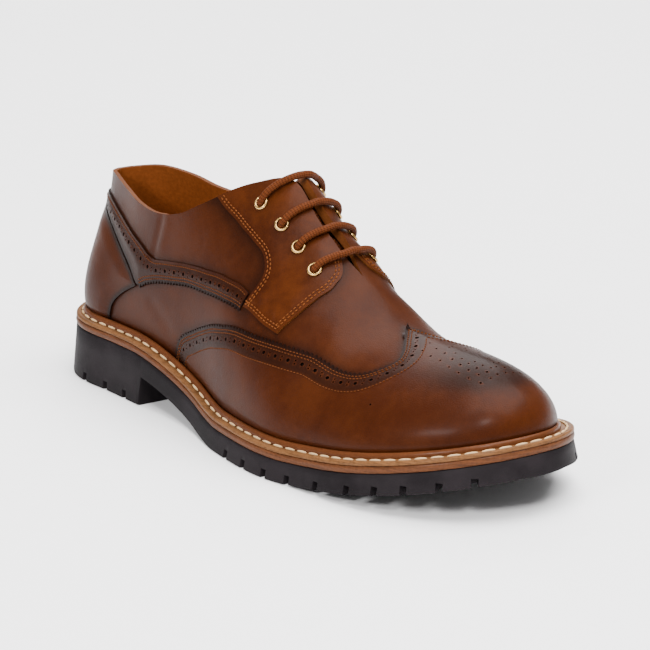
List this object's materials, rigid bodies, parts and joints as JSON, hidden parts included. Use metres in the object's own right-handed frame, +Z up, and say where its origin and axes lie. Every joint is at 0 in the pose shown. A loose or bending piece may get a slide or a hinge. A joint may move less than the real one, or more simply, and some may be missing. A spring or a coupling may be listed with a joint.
{
  "type": "brogue shoe",
  "caption": "Right-foot men's derby brogue: hollow leather upper with wing toe cap, perforated heel band and laced facings, on a welted sole with a lugged rubber tread.",
  "frame": {"origin": "centre of the outsole's box, on the floor", "axes": "+X towards the toe, +Y towards the inner side of the foot, +Z up"},
  "size_m": [0.3118, 0.114, 0.121],
  "materials": {
    "outsole": "black, matt",
    "midsole": "tan, waxed edge",
    "welt": "tan, stitched, waxed edge",
    "insole": "tan, plain",
    "upper": "brown, polished",
    "toe_cap": "brown, polished, burnished",
    "counter": "brown, polished",
    "counter_band": "dark brown, polished",
    "facing_lateral": "brown, polished",
    "facing_medial": "brown, polished",
    "tongue": "dark brown",
    "eyelet": "polished",
    "lace": "waxed round cord"
  },
  "bodies": {
    "root": {"outsole": "outsole", "midsole": "midsole", "welt": "welt", "insole": "insole", "upper": "upper", "toe_cap": "toe_cap", "counter": "counter", "counter_band": "counter_band", "facing_lateral": "facing_lateral", "facing_medial": "facing_medial", "tongue": "tongue", "eyelet_lateral_1": "eyelet", "eyelet_lateral_2": "eyelet", "eyelet_lateral_3": "eyelet", "eyelet_lateral_4": "eyelet", "eyelet_medial_1": "eyelet", "eyelet_medial_2": "eyelet", "eyelet_medial_3": "eyelet", "eyelet_medial_4": "eyelet", "lace_bar_1": "lace", "lace_bar_2": "lace", "lace_bar_3": "lace", "lace_bar_4": "lace"}
  },
  "joints": []
}
